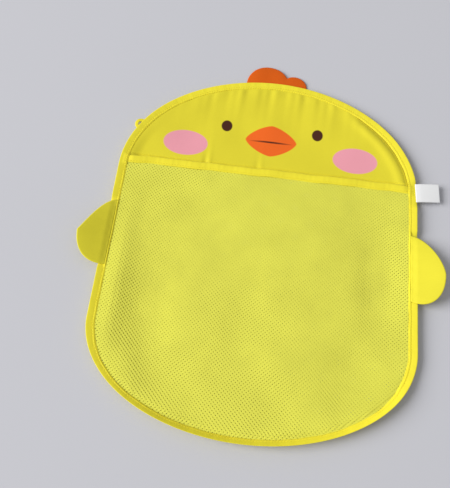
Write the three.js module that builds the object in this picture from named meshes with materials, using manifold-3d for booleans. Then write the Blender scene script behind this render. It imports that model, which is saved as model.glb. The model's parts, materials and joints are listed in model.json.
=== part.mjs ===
// A flat hanging bag for bath toys, shaped like a chick and lying on its back.
// Millimetres. X runs across the bag, Y towards the head and Z up, out of the face.
// The origin is the middle of the bag's outline, on the surface that the bag lies on.
import * as THREE from 'three';
import { mergeVertices } from 'three/addons/utils/BufferGeometryUtils.js';
import Module from 'manifold-3d';

const wasm = await Module();
wasm.setup();

// Outline of the bag: straight sides between a rounded crown and a rounded base
const BAG_WIDTH = 330;
const BAG_LENGTH = 410;
const CROWN_RISE = 130;
const BASE_RISE = 105;
const CURVE_STEPS = 18; // facets in a quarter of the outline

// Layers of cloth, tape and net
const CLOTH = 0.6;
const TAPE = 0.6;
const NET = 1.0;
const CLEARANCE = 0.3; // between sewn layers

// Edge binding: tape folded over the edges of the panel and the back net
const BINDING_WIDTH = 9;
const BINDING_FOLD = 1.5; // solid fold at the outer edge, before the slot
const FOLD_ROUNDING = 1;

// Pocket: its mouth is the bound top edge of the front net
const MOUTH_DROP = 118; // from the top of the bag
const MOUTH_BAND = 9;
const POCKET_PUFF = 6.5; // how far the net bulges at the middle of the mouth
const MOUTH_STEPS = 24;

// Diamond net, drawn with wider meshes than the fine real one
const NET_PITCH = 23;
const NET_STRAND = 3;
const NET_RIM = 2.5; // solid border inside the binding
const NET_RAMP = 24; // the back net sinks to the floor over this distance

// Wings: two layers each, sewn on the binding near its inner edge
const WING_LENGTH = 75; // along the side of the bag
const WING_REACH = 32;
const WING_CENTRE_DROP = 212; // from the top of the bag
const WING_SEAM = 2; // from the binding's inner edge
const WING_STEPS = 10;

// Crest: two layers with a large and a small lobe, sewn behind the top of the binding
const CREST_LARGE_RADIUS = 25;
const CREST_SMALL_RADIUS = 15;
const CREST_LOBE_SPACING = 31;
const CREST_STEPS = 12;

// Hanging loops: narrow tape sewn behind the binding at the shoulders
const LOOP_ANGLE = THREE.MathUtils.degToRad(25); // up the crown from the end of the straight side
const LOOP_WIDTH = 14;
const LOOP_TAPE_WIDTH = 3.5;
const LOOP_THICKNESS = 1.2;
const LOOP_REACH = 8; // past the outer edge of the binding
const LOOP_STEPS = 8;

// Side label: folded tape sewn on the front of the binding at the right side
const LABEL_WIDTH = 22;
const LABEL_REACH = 24.5; // past the outer edge of the binding
const LABEL_SEAM = 2; // in from the outer edge of the binding
const LABEL_LEAF = 0.4;
const LABEL_CENTRE_DROP = 126; // from the top of the bag

// Places along the bag
const TOP_Y = BAG_LENGTH / 2;
const CROWN_Y = TOP_Y - CROWN_RISE; // upper end of the straight sides
const BASE_Y = BASE_RISE - TOP_Y; // lower end of the straight sides
const MOUTH_Y = TOP_Y - MOUTH_DROP;
const BAND_Y = MOUTH_Y - MOUTH_BAND; // lower edge of the mouth band, over the seam of the panel and the back net

// Distances in from the outline
const SLOT_INSET = BINDING_FOLD + CLEARANCE; // edges of the panel and the back net
const POCKET_INSET = BINDING_WIDTH + CLEARANCE; // edge of the front net

// Heights of the layers
const CREST_THICKNESS = 2 * CLOTH + CLEARANCE;
const LABEL_THICKNESS = 2 * LABEL_LEAF + CLEARANCE;
const FLAP_Z = CLEARANCE; // underside of the crest and the loops
const FLAP_THICKNESS = Math.max(CREST_THICKNESS, LOOP_THICKNESS);
const BINDING_Z = FLAP_Z + FLAP_THICKNESS + CLEARANCE;
const SLOT_Z = BINDING_Z + TAPE;
const BACK_NET_EDGE_Z = SLOT_Z + CLEARANCE;
const PANEL_Z = BACK_NET_EDGE_Z + NET + CLEARANCE;
const PANEL_TOP_Z = PANEL_Z + CLOTH;
const SLOT_TOP_Z = PANEL_TOP_Z + CLEARANCE;
const BINDING_TOP_Z = SLOT_TOP_Z + TAPE;
const WING_Z = BINDING_TOP_Z + CLEARANCE; // underside of the wings and the label
const FRONT_NET_Z = PANEL_TOP_Z + CLEARANCE + TAPE + CLEARANCE; // at its edge, clear of the mouth band

// Materials
const YELLOW_CLOTH = { color: 0xe0d233, roughness: 0.75, metalness: 0 };
const YELLOW_TAPE = { color: 0xdcc92a, roughness: 0.8, metalness: 0 };
const YELLOW_NET = { color: 0xe6e04a, roughness: 0.7, metalness: 0 };
const WING_CLOTH = { color: 0xeede3c, roughness: 0.75, metalness: 0 };
const ORANGE_CLOTH = { color: 0xf0702c, roughness: 0.8, metalness: 0 };
const WHITE_TAPE = { color: 0xf4f3f0, roughness: 0.7, metalness: 0 };

function namedMesh(name, geometry, finish) {
  const mesh = new THREE.Mesh(geometry, new THREE.MeshStandardMaterial(finish));
  mesh.name = name;
  return mesh;
}

function plate(shape, thickness, curveSegments) {
  return new THREE.ExtrudeGeometry(shape, { depth: thickness, bevelEnabled: false, curveSegments });
}

// Closed solids for cutting, and back again

function toSolid(geometry) {
  const bare = geometry.clone();
  bare.deleteAttribute('normal');
  bare.deleteAttribute('uv');
  const merged = mergeVertices(bare);
  const vertProperties = new Float32Array(merged.attributes.position.array);
  const triVerts = new Uint32Array(merged.index.array);
  return new wasm.Manifold(new wasm.Mesh({ numProp: 3, vertProperties, triVerts }));
}

function toGeometry(solid) {
  const { vertProperties, triVerts } = solid.getMesh();
  const geometry = new THREE.BufferGeometry();
  geometry.setAttribute('position', new THREE.BufferAttribute(vertProperties, 3));
  geometry.setIndex(new THREE.BufferAttribute(triVerts, 1));
  return geometry;
}

function raise(geometry, heightAt) {
  const position = geometry.attributes.position;
  for (let i = 0; i < position.count; i += 1) {
    const lift = heightAt(position.getX(i), position.getY(i));
    position.setZ(i, position.getZ(i) + lift);
  }
  geometry.computeVertexNormals();
  return geometry;
}

// Outlines of the bag, drawn in from its edge by an inset

function wholeOutline(inset) {
  const halfWidth = BAG_WIDTH / 2 - inset;
  const shape = new THREE.Shape();
  shape.absellipse(0, CROWN_Y, halfWidth, CROWN_RISE - inset, 0, Math.PI, false);
  shape.absellipse(0, BASE_Y, halfWidth, BASE_RISE - inset, Math.PI, 2 * Math.PI, false);
  return shape;
}

// How far round the crown, from the end of the straight side, a line across the bag meets the outline
function crownAngle(inset, y) {
  return Math.asin(Math.max(0, y - CROWN_Y) / (CROWN_RISE - inset));
}

function outlineAbove(inset, y) {
  const halfWidth = BAG_WIDTH / 2 - inset;
  const angle = crownAngle(inset, y);
  const shape = new THREE.Shape();
  shape.moveTo(halfWidth * Math.cos(angle), y);
  shape.absellipse(0, CROWN_Y, halfWidth, CROWN_RISE - inset, angle, Math.PI - angle, false);
  shape.lineTo(-halfWidth * Math.cos(angle), y);
  return shape;
}

function outlineBelow(inset, y) {
  const halfWidth = BAG_WIDTH / 2 - inset;
  const rise = CROWN_RISE - inset;
  const angle = crownAngle(inset, y);
  const shape = new THREE.Shape();
  shape.absellipse(0, BASE_Y, halfWidth, BASE_RISE - inset, Math.PI, 2 * Math.PI, false);
  if (angle > 0) {
    shape.absellipse(0, CROWN_Y, halfWidth, rise, 0, angle, false);
    shape.absellipse(0, CROWN_Y, halfWidth, rise, Math.PI - angle, Math.PI, false);
  } else {
    shape.lineTo(halfWidth, y);
    shape.lineTo(-halfWidth, y);
  }
  return shape;
}

function isInside(points, x, y) {
  let inside = false;
  points.forEach((a, i) => {
    const b = points[(i + 1) % points.length];
    const crosses = a.y > y !== b.y > y && x < a.x + ((b.x - a.x) * (y - a.y)) / (b.y - a.y);
    if (crosses) {
      inside = !inside;
    }
  });
  return inside;
}

function distanceToEdge(points, x, y) {
  const place = new THREE.Vector3(x, y, 0);
  const nearest = new THREE.Vector3();
  const side = new THREE.Line3();
  let least = Infinity;
  points.forEach((a, i) => {
    const b = points[(i + 1) % points.length];
    side.set(new THREE.Vector3(a.x, a.y, 0), new THREE.Vector3(b.x, b.y, 0));
    side.closestPointToPoint(place, true, nearest);
    least = Math.min(least, nearest.distanceTo(place));
  });
  return least;
}

// Net: a sheet with diamond meshes cut through it inside a window

function diamond(x, y, halfDiagonal) {
  const shape = new THREE.Shape();
  shape.moveTo(x + halfDiagonal, y);
  shape.lineTo(x, y + halfDiagonal);
  shape.lineTo(x - halfDiagonal, y);
  shape.lineTo(x, y - halfDiagonal);
  return shape;
}

// Strands cross at the origin. A mesh at the window's edge is kept if a good part of it is open.
function netMeshes(windowPoints) {
  const halfStep = NET_PITCH / Math.SQRT2;
  const halfDiagonal = (NET_PITCH - NET_STRAND) / Math.SQRT2;
  const columns = Math.ceil(BAG_WIDTH / 2 / halfStep);
  const rows = Math.ceil(BAG_LENGTH / 2 / halfStep);
  const meshes = [];
  for (let column = -columns; column <= columns; column += 1) {
    for (let row = -rows; row <= rows; row += 1) {
      const x = column * halfStep;
      const y = row * halfStep;
      const isMesh = (column + row) % 2 !== 0;
      const isOpen = isInside(windowPoints, x, y) || distanceToEdge(windowPoints, x, y) < halfDiagonal / 2;
      if (isMesh && isOpen) {
        meshes.push(diamond(x, y, halfDiagonal));
      }
    }
  }
  return meshes;
}

// A block that passes right through any sheet of the bag, for cutting it
function cutter(shapes, steps) {
  return toSolid(plate(shapes, 2 * BAG_WIDTH, steps).translate(0, 0, -BAG_WIDTH));
}

function netSheet(outline, netWindow) {
  const sheet = toSolid(plate(outline, NET, CURVE_STEPS));
  const meshes = cutter(netMeshes(netWindow.getPoints(CURVE_STEPS)), 1);
  return toGeometry(sheet.subtract(meshes.intersect(cutter(netWindow, CURVE_STEPS))));
}

// Height of the front net above its edge: a shallow bulge, highest at the middle of the mouth
function pocketBulge(x, y) {
  const across = x / (BAG_WIDTH / 2 - POCKET_INSET);
  const down = Math.max(0, MOUTH_Y - y) / (BAG_LENGTH - MOUTH_DROP - POCKET_INSET);
  return POCKET_PUFF * (1 - across * across) * (1 - down * down);
}

// The back net is level in the binding, at the seam and for one mesh inwards, then sinks to the floor
function backNet() {
  const outline = outlineBelow(SLOT_INSET, MOUTH_Y);
  const netWindow = outlineBelow(BINDING_WIDTH + NET_RIM, BAND_Y - NET_RIM);
  const windowPoints = netWindow.getPoints(CURVE_STEPS);
  const levelBorder = NET_PITCH * Math.SQRT2;
  const geometry = raise(netSheet(outline, netWindow), (x, y) => {
    const inwards = isInside(windowPoints, x, y) ? distanceToEdge(windowPoints, x, y) : 0;
    const sunk = (inwards - levelBorder) / NET_RAMP;
    return BACK_NET_EDGE_Z * (1 - THREE.MathUtils.clamp(sunk, 0, 1));
  });
  return namedMesh('back_net', geometry, YELLOW_NET);
}

// A section of Y and Z carried across the bag, arched with the pocket's mouth and trimmed at its sides
function acrossMouth(section) {
  const settings = { depth: BAG_WIDTH, steps: MOUTH_STEPS, bevelEnabled: false };
  const alongX = new THREE.Matrix4().makeBasis(
    new THREE.Vector3(0, 1, 0),
    new THREE.Vector3(0, 0, 1),
    new THREE.Vector3(1, 0, 0),
  );
  const strip = new THREE.ExtrudeGeometry(section, settings).applyMatrix4(alongX);
  strip.translate(-BAG_WIDTH / 2, 0, 0);
  raise(strip, (x) => pocketBulge(x, MOUTH_Y));
  return toSolid(strip).intersect(cutter(wholeOutline(POCKET_INSET), CURVE_STEPS));
}

// The front net's strands end in a thin strip along its top edge, inside the mouth band
function frontNet() {
  const strandEndY = (BAND_Y + MOUTH_Y) / 2;
  const outline = outlineBelow(POCKET_INSET, strandEndY);
  const netWindow = outlineBelow(POCKET_INSET + NET_RIM, MOUTH_Y);
  const strands = raise(netSheet(outline, netWindow), pocketBulge).translate(0, 0, FRONT_NET_Z);
  const stripY = strandEndY - MOUTH_BAND / 4;
  const stripTopY = MOUTH_Y - TAPE - CLEARANCE;
  const section = new THREE.Shape();
  section.moveTo(stripY, FRONT_NET_Z + NET / 4);
  section.lineTo(stripTopY, FRONT_NET_Z + NET / 4);
  section.lineTo(stripTopY, FRONT_NET_Z + (3 * NET) / 4);
  section.lineTo(stripY, FRONT_NET_Z + (3 * NET) / 4);
  return namedMesh('front_net', toGeometry(toSolid(strands).add(acrossMouth(section))), YELLOW_NET);
}

// Mouth binding: tape folded over the top edge of the front net
function mouthBinding() {
  const low = FRONT_NET_Z - CLEARANCE;
  const high = FRONT_NET_Z + NET + CLEARANCE;
  const section = new THREE.Shape();
  section.moveTo(BAND_Y, low - TAPE);
  section.lineTo(MOUTH_Y, low - TAPE);
  section.lineTo(MOUTH_Y, high + TAPE);
  section.lineTo(BAND_Y, high + TAPE);
  section.lineTo(BAND_Y, high);
  section.lineTo(MOUTH_Y - TAPE, high);
  section.lineTo(MOUTH_Y - TAPE, low);
  section.lineTo(BAND_Y, low);
  return namedMesh('mouth_binding', toGeometry(acrossMouth(section)), YELLOW_TAPE);
}

function facePanel() {
  const mesh = namedMesh('face_panel', plate(outlineAbove(SLOT_INSET, BAND_Y), CLOTH, CURVE_STEPS), YELLOW_CLOTH);
  mesh.position.z = PANEL_Z;
  return mesh;
}

// Edge binding: a folded section, open inwards, carried round the whole outline
function edgeBinding() {
  const section = [
    [BINDING_WIDTH, BINDING_Z],
    [FOLD_ROUNDING, BINDING_Z],
    [0, BINDING_Z + FOLD_ROUNDING],
    [0, BINDING_TOP_Z - FOLD_ROUNDING],
    [FOLD_ROUNDING, BINDING_TOP_Z],
    [BINDING_WIDTH, BINDING_TOP_Z],
    [BINDING_WIDTH, SLOT_TOP_Z],
    [BINDING_FOLD, SLOT_TOP_Z],
    [BINDING_FOLD, SLOT_Z],
    [BINDING_WIDTH, SLOT_Z],
  ];
  const rings = section.map(([inset]) => wholeOutline(inset).getPoints(CURVE_STEPS));
  const count = rings[0].length;
  const positions = [];
  const triangles = [];
  section.forEach(([, z], s) => {
    const next = (s + 1) % section.length;
    rings[s].forEach((point, i) => {
      const j = (i + 1) % count;
      const [a, b, c, d] = [s * count + i, s * count + j, next * count + j, next * count + i];
      positions.push(point.x, point.y, z);
      triangles.push(a, b, d, b, c, d);
    });
  });
  const geometry = new THREE.BufferGeometry();
  geometry.setAttribute('position', new THREE.Float32BufferAttribute(positions, 3));
  geometry.setIndex(triangles);
  geometry.computeVertexNormals();
  return namedMesh('edge_binding', geometry, YELLOW_TAPE);
}

// Two cloth layers of one outline, one above the other
function twoLayers(name, shape, steps, finish) {
  const group = new THREE.Group();
  const back = namedMesh(`${name}_back`, plate(shape, CLOTH, steps), finish);
  const front = namedMesh(`${name}_front`, plate(shape, CLOTH, steps), finish);
  front.position.z = CLOTH + CLEARANCE;
  group.add(back, front);
  return group;
}

// A wing's outline, outwards along X from its seam, with its tip drooping below the middle
function wingShape(side) {
  const reach = side * WING_REACH;
  const half = WING_LENGTH / 2;
  const shape = new THREE.Shape();
  shape.moveTo(0, -half);
  shape.bezierCurveTo(0.68 * reach, -1.05 * half, 1.03 * reach, -0.7 * half, reach, -0.13 * half);
  shape.bezierCurveTo(0.95 * reach, 0.26 * half, 0.5 * reach, 0.93 * half, 0, half);
  return shape;
}

function wing(name, side) {
  const group = twoLayers(name, wingShape(side), WING_STEPS, WING_CLOTH);
  const seamX = BAG_WIDTH / 2 - BINDING_WIDTH + WING_SEAM;
  group.position.set(side * seamX, TOP_Y - WING_CENTRE_DROP, WING_Z);
  return group;
}

// The crest's lobes are arcs round two centres on the outer edge of the binding
function crestShape() {
  const baseY = TOP_Y - BINDING_WIDTH;
  const span = CREST_LARGE_RADIUS + CREST_LOBE_SPACING + CREST_SMALL_RADIUS;
  const largeX = CREST_LARGE_RADIUS - span / 2;
  const smallX = largeX + CREST_LOBE_SPACING;
  const difference = CREST_LARGE_RADIUS ** 2 - CREST_SMALL_RADIUS ** 2;
  const notch = (CREST_LOBE_SPACING + difference / CREST_LOBE_SPACING) / 2;
  const largeEnd = Math.acos(notch / CREST_LARGE_RADIUS);
  const smallStart = Math.acos((notch - CREST_LOBE_SPACING) / CREST_SMALL_RADIUS);
  const shape = new THREE.Shape();
  shape.moveTo(-span / 2, baseY);
  shape.lineTo(span / 2, baseY);
  shape.absarc(smallX, TOP_Y, CREST_SMALL_RADIUS, 0, smallStart, false);
  shape.absarc(largeX, TOP_Y, CREST_LARGE_RADIUS, largeEnd, Math.PI, false);
  return shape;
}

function crest() {
  const group = twoLayers('crest', crestShape(), CREST_STEPS, ORANGE_CLOTH);
  group.position.z = FLAP_Z;
  return group;
}

// A loop of tape, from its seam at the binding's inner edge outwards along Y
function loopShape() {
  const outer = LOOP_WIDTH / 2;
  const inner = outer - LOOP_TAPE_WIDTH;
  const bendY = BINDING_WIDTH + LOOP_REACH - outer;
  const shape = new THREE.Shape();
  shape.moveTo(inner, 0);
  shape.lineTo(outer, 0);
  shape.absarc(0, bendY, outer, 0, Math.PI, false);
  shape.lineTo(-outer, 0);
  shape.lineTo(-inner, 0);
  shape.absarc(0, bendY, inner, Math.PI, 0, true);
  return shape;
}

// The loop swings at its seam, behind the binding: it points outwards, or lies tucked in behind the panel
function hangLoop(name, side, tucked) {
  const angle = side > 0 ? LOOP_ANGLE : Math.PI - LOOP_ANGLE;
  const seamWidth = BAG_WIDTH / 2 - BINDING_WIDTH;
  const seamRise = CROWN_RISE - BINDING_WIDTH;
  const outwards = Math.atan2(Math.sin(angle) / seamRise, Math.cos(angle) / seamWidth);
  const geometry = plate(loopShape(), LOOP_THICKNESS, LOOP_STEPS).translate(0, 0, -LOOP_THICKNESS / 2);
  const mesh = namedMesh(name, geometry, YELLOW_TAPE);
  mesh.rotation.x = tucked ? Math.PI : 0;
  const seam = new THREE.Group();
  seam.position.set(
    seamWidth * Math.cos(angle),
    CROWN_Y + seamRise * Math.sin(angle),
    FLAP_Z + LOOP_THICKNESS / 2,
  );
  seam.rotation.z = outwards - Math.PI / 2;
  seam.add(mesh);
  return seam;
}

// The label is one strip of tape, folded back on itself at its outer end
function sideLabel() {
  const length = LABEL_SEAM + LABEL_REACH;
  const section = new THREE.Shape();
  section.moveTo(0, 0);
  section.lineTo(length, 0);
  section.lineTo(length, LABEL_THICKNESS);
  section.lineTo(0, LABEL_THICKNESS);
  section.lineTo(0, LABEL_THICKNESS - LABEL_LEAF);
  section.lineTo(length - LABEL_LEAF, LABEL_THICKNESS - LABEL_LEAF);
  section.lineTo(length - LABEL_LEAF, LABEL_LEAF);
  section.lineTo(0, LABEL_LEAF);
  const mesh = namedMesh('side_label', plate(section, LABEL_WIDTH, 1), WHITE_TAPE);
  mesh.rotation.x = Math.PI / 2;
  const seamX = BAG_WIDTH / 2 - LABEL_SEAM;
  mesh.position.set(seamX, TOP_Y - LABEL_CENTRE_DROP + LABEL_WIDTH / 2, WING_Z);
  return mesh;
}

const bag = new THREE.Group();
bag.add(backNet(), facePanel(), frontNet(), mouthBinding(), edgeBinding());
bag.add(wing('left_wing', -1), wing('right_wing', 1), crest());
bag.add(hangLoop('left_hang_loop', -1, false), hangLoop('right_hang_loop', 1, true), sideLabel());

export default bag;
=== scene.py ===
import json
import math

import bmesh
import bpy
import numpy as np
from mathutils import Matrix, Vector


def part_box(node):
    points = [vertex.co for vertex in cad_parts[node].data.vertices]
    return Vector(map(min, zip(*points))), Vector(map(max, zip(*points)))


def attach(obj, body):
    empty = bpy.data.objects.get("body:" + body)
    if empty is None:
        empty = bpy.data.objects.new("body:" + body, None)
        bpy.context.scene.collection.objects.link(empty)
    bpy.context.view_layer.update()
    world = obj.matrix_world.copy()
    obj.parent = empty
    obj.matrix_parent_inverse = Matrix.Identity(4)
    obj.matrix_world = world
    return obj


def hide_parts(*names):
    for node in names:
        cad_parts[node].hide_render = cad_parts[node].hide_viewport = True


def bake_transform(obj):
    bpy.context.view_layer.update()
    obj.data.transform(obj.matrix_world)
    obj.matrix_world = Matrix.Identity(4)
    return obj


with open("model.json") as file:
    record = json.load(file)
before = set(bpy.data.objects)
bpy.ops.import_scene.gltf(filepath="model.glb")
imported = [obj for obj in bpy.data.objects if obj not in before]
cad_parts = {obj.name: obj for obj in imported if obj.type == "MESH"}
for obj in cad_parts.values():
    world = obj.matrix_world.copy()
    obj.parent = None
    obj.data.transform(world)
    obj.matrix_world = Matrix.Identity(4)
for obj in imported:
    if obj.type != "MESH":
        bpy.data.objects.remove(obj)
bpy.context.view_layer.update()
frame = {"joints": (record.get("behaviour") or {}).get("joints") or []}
MM = 0.001  # lengths below are millimetres in the frame's axes


def corners(node):
    """Lowest and highest corner of a CAD node, in millimetres."""
    return [np.array(corner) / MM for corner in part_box(node)]


# Outline of the bag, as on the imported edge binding
BINDING_LOW, BINDING_HIGH = corners("edge_binding")
HALF_WIDTH = BINDING_HIGH[0]
TOP_Y = BINDING_HIGH[1]
CROWN_RISE = 130
BASE_RISE = 105
CROWN_Y = TOP_Y - CROWN_RISE
BASE_Y = BINDING_LOW[1] + BASE_RISE

# Edge binding
BINDING_WIDTH = 9
BINDING_Z = BINDING_LOW[2]
BINDING_STATIONS = 1800  # sections round the outline
RIM_LIFT = 0.16  # slope of the binding up to its rim
BASE_RIM_LIFT = 0.5  # more slope along the bottom of the bag, where the rim curls up
BASE_DRAW = 0.33  # share of the binding's width that it loses there, as it stands up
BAND_SWELL = 0.6  # rise of the binding over the ends of the mouth band
WING_SEAM_ENDS = (-3, 5)  # the binding's form changes over this stretch at each end of a wing's seam
LABEL_SEAM_ENDS = (0, 8)  # and over this one at each end of the label's seam

# Mouth of the pocket
BAND_LOW, BAND_HIGH = corners("mouth_binding")
BAND_Y = BAND_LOW[1]
MOUTH_Y = BAND_HIGH[1]
BAND_TUCK = 2.6  # how far each end of the band reaches under the edge binding
BAND_RISE = 1.4  # how far the slack band is drawn up at the middle of the mouth
BAND_SEAM_RISE = 2.0  # from the band's lower edge to its stitches
BAND_SEAM_OUT = 0.65  # from the net out to the stitches

# Nets
NET_PITCH = 2.8
NET_STRAND_WIDTH = 2.08
NET_STRAND_EDGE = 0.12  # width of a strand's slanted edge
NET_STRAND_THICKNESS = 0.24
NET_STRAND_STEP = 0.02  # how far one set of strands stands above the other
NET_STEP = 8.0  # length of one straight piece of a strand
NET_CUT_INSET = 3.5  # from the rim to the cut edge
BACK_NET_INSET = 3  # from the rim to the ends of the strands
FRONT_NET_INSET = 4
BACK_NET_TURN = math.radians(49.5)  # direction of the first set of strands
FRONT_NET_TURN = math.radians(42.5)
BACK_NET_EDGE_Z = 3.4
BACK_NET_FLOOR_Z = 0.6
BACK_NET_SLOPE = (1, 22)  # the back net sinks over this stretch inside the binding
FRONT_NET_EDGE_Z = 4.75
FRONT_NET_LIP = 0.65  # rise of the front net over the inner edge of the binding
WING_LIP = 0.6  # further rise along the seam of a wing
NETS_APART = 0.9  # least height of the front net above the back net
CONTACT_SOFTNESS = 0.5  # how softly the front net comes to rest there
MOUTH_DEPTH = 2.5  # from the front net down to the back net, at the mouth
POCKET_SAG = 1.2  # how far the slack front net lies below its edge
POCKET_SAG_LENGTH = 16  # distance from the binding over which it comes free
# slack in the front net: middle, spread and rise of each soft hollow or swell
NET_DENTS = [
    ((-147, -70), (13, 90), 4.0),
    ((-106, -85), (24, 70), -3.2),
    ((-40, -70), (30, 60), 1.4),
    ((128, -30), (20, 65), -3.4),
    ((102, -130), (24, 45), -3.0),
    ((30, -30), (40, 60), 1.6),
    ((-72, -155), (34, 30), -2.4),
    ((-122, -150), (17, 26), 2.0),
    ((40, -160), (30, 24), -1.8),
]

# Face panel
PANEL_INSET = 3  # from the rim to the cut edge
PANEL_EDGE_Z = 4.95
PANEL_LIP = 0.45  # rise of the panel over the inner edge of the binding
PANEL_THICKNESS = 0.5
PANEL_SAG = 3.9
PANEL_SAG_LENGTH = 42  # distance from the binding over which it sags
PANEL_DEPTH = 1.3  # from the front net down to the panel, at the mouth
MOUTH_GROOVE = 1.3  # depth of the groove in the panel along the top of the band
GATHER_LENGTH = 17  # how far the gathers reach down from the crown
FOLD_WIDTH = 2.4
MOUTH_FOLDS = [(-71, 1.3), (-13, 0.8)]  # place across and depth of each small fold above the mouth

# Print on the panel: middle and radii of each mark, of the right one where there are two
CHEEK = ((96, 113), (25, 16))
EYE = ((52, 141), (6.2, 7.2))
BEAK = ((0, 127), (29, 20))
BEAK_LINE = ((0, 125.5), (19, 1.1))
OVAL = 2.0  # power of an oval
ROUNDED_DIAMOND = 1.45

# Wings
WING_HALF_SEAM = 37.5
WING_SEAM_Z = 6.45
WING_CURL = 9  # rise of a wing's tip
WING_PUFF = 0.9

# Crest: a large and a small lobe
CREST_LARGE_RADIUS = 25
CREST_SMALL_RADIUS = 15
CREST_LOBE_SPACING = 31
CREST_SEAM_Z = 0.95
CREST_RISE = 0.9
CREST_PUFF = 0.9

# Layers of the wings and the crest
LAYER_THICKNESS = 0.45
LAYER_RIM = 2.0  # radius of their turned edge

# Hanging loops
LOOP_WIDTH = 14
LOOP_TAPE_WIDTH = 3.8
LOOP_HALF_THICKNESS = 0.5
LOOP_REACH = 8
LOOP_RISE = 1.6  # rise of the loop that shows past the shoulder

# Label
LABEL_LEAF = 0.32  # thickness of its tape
LABEL_FOLD = 0.42  # radius of its fold
LABEL_TURN = math.radians(3.5)
LABEL_SLANT = math.tan(math.radians(4.5))
LABEL_DROOP = 2.2

# Stitching
STITCH_PITCH = 3.0
STITCH_LENGTH = 2.45
STITCH_RADIUS = 0.2

# Colours, as display values
PANEL_YELLOW = (229, 216, 53)
TAPE_YELLOW = (242, 228, 56)
NET_YELLOW = (229, 227, 86)
WING_YELLOW = (230, 219, 55)
CREST_ORANGE = (217, 94, 14)
LABEL_WHITE = (243, 243, 242)
THREAD_YELLOW = (236, 216, 54)
PRINT_PINK = (238, 160, 172)
PRINT_ORANGE = (242, 106, 34)
PRINT_BROWN = (74, 38, 24)
FLOOR_GREY = (200, 200, 205)

# Sizes of the soft patches in the dye, and of the fibres
CLOTH_PATCH = 55
CLOTH_FIBRE = 0.9
YARN_PATCH = 34
YARN_FIBRE = 0.35
FLOOR_PATCH = 300


# Small helpers


def linear(colour):
    """A display colour of 0 to 255 as a linear colour with alpha."""
    part = np.array(colour) / 255
    value = np.where(part <= 0.04045, part / 12.92, ((part + 0.055) / 1.055) ** 2.4)
    return (*value.tolist(), 1.0)


def waves(place, *terms):
    """A sum of sine waves along a place; each term is (height, wavelength, phase)."""
    return sum(height * np.sin(2 * np.pi * place / length + phase) for height, length, phase in terms)


def ease(value, low, high):
    """0 below low, 1 above high and a smooth step between."""
    t = np.clip((value - low) / (high - low), 0, 1)
    return t * t * (3 - 2 * t)


def evenly(points, count, closed=False):
    """Points set evenly along a polyline, and its length."""
    line = np.vstack([points, points[:1]]) if closed else np.asarray(points)
    run = np.concatenate([[0], np.cumsum(np.linalg.norm(np.diff(line, axis=0), axis=1))])
    at = np.linspace(0, run[-1], count, endpoint=not closed)
    return np.column_stack([np.interp(at, run, line[:, axis]) for axis in range(line.shape[1])]), run[-1]


def outline(inset, count):
    """Points round the bag, drawn in by inset, from its right side over the crown, and the length round."""
    arc = np.linspace(0, np.pi, 400)
    wide = HALF_WIDTH - inset
    crown = np.column_stack([wide * np.cos(arc), CROWN_Y + (CROWN_RISE - inset) * np.sin(arc)])
    base = np.column_stack([-wide * np.cos(arc), BASE_Y - (BASE_RISE - inset) * np.sin(arc)])
    return evenly(np.vstack([crown, base]), count, closed=True)


def outward(ring):
    """Outward normals of a closed anticlockwise ring."""
    along = np.roll(ring, -1, axis=0) - np.roll(ring, 1, axis=0)
    along /= np.linalg.norm(along, axis=1)[:, None]
    return np.column_stack([along[:, 1], -along[:, 0]])


def left_of(path):
    """Directions to the left of an open path."""
    along = np.gradient(path, axis=0)
    along /= np.linalg.norm(along, axis=1)[:, None]
    return np.column_stack([-along[:, 1], along[:, 0]])


def distance_to(points, line):
    """How far each point lies from the nearest point of a dense line, and that point's number."""
    at_once = 2000
    nearest = np.empty(len(points))
    number = np.empty(len(points), int)
    for start in range(0, len(points), at_once):
        part = slice(start, start + at_once)
        gap = points[part, None, :] - line[None, :, :]
        squared = (gap ** 2).sum(2)
        number[part] = squared.argmin(1)
        nearest[part] = np.sqrt(squared.min(1))
    return nearest, number


def at_base(normals):
    """1 along the bottom of the bag and 0 along its sides and crown, from the outline's normals."""
    return ease(-normals[:, 1], 0.25, 0.85)


SEWN_EDGE, _ = outline(BINDING_WIDTH, 1600)  # inner edge of the binding


def inside_binding(points):
    """Distance in from the inner edge of the binding, and below 0 under it."""
    gap, number = distance_to(points, SEWN_EDGE)
    out = ((points - SEWN_EDGE[number]) * outward(SEWN_EDGE)[number]).sum(1)
    return np.where(out > 0, -gap, gap)


# Camera and light

IMAGE_SIDES = (450, 488)
FOCAL_PIXELS = 618.2
SENSOR = 36
CAMERA_AT = Vector((-20.6, -256.1, 605.6)) * MM
CAMERA_AIM = Vector((-37.3, -4.1, 0)) * MM
CAMERA_ROLL = math.radians(3.13)
KEY_FROM = Vector((-10.0, -1.5, 5.8))  # metres
KEY_SIZE = 8
KEY_POWER = 1690
FILL_STRENGTH = 0.425
FILL_COLOUR = (0.97, 0.975, 1.0, 1)


def add_camera():
    """A camera that looks down on the bag from its foot, a little rolled."""
    data = bpy.data.cameras.new("camera")
    data.sensor_width = SENSOR
    data.lens = SENSOR * FOCAL_PIXELS / max(IMAGE_SIDES)
    forward = (CAMERA_AIM - CAMERA_AT).normalized()
    right = forward.cross(Vector((0, 0, 1))).normalized()
    up = right.cross(forward)
    image_right = math.cos(CAMERA_ROLL) * right + math.sin(CAMERA_ROLL) * up
    image_up = math.cos(CAMERA_ROLL) * up - math.sin(CAMERA_ROLL) * right
    camera = bpy.data.objects.new("camera", data)
    camera.matrix_world = Matrix((image_right, image_up, -forward)).transposed().to_4x4()
    camera.location = CAMERA_AT
    bpy.context.scene.collection.objects.link(camera)
    bpy.context.scene.camera = camera


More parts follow.
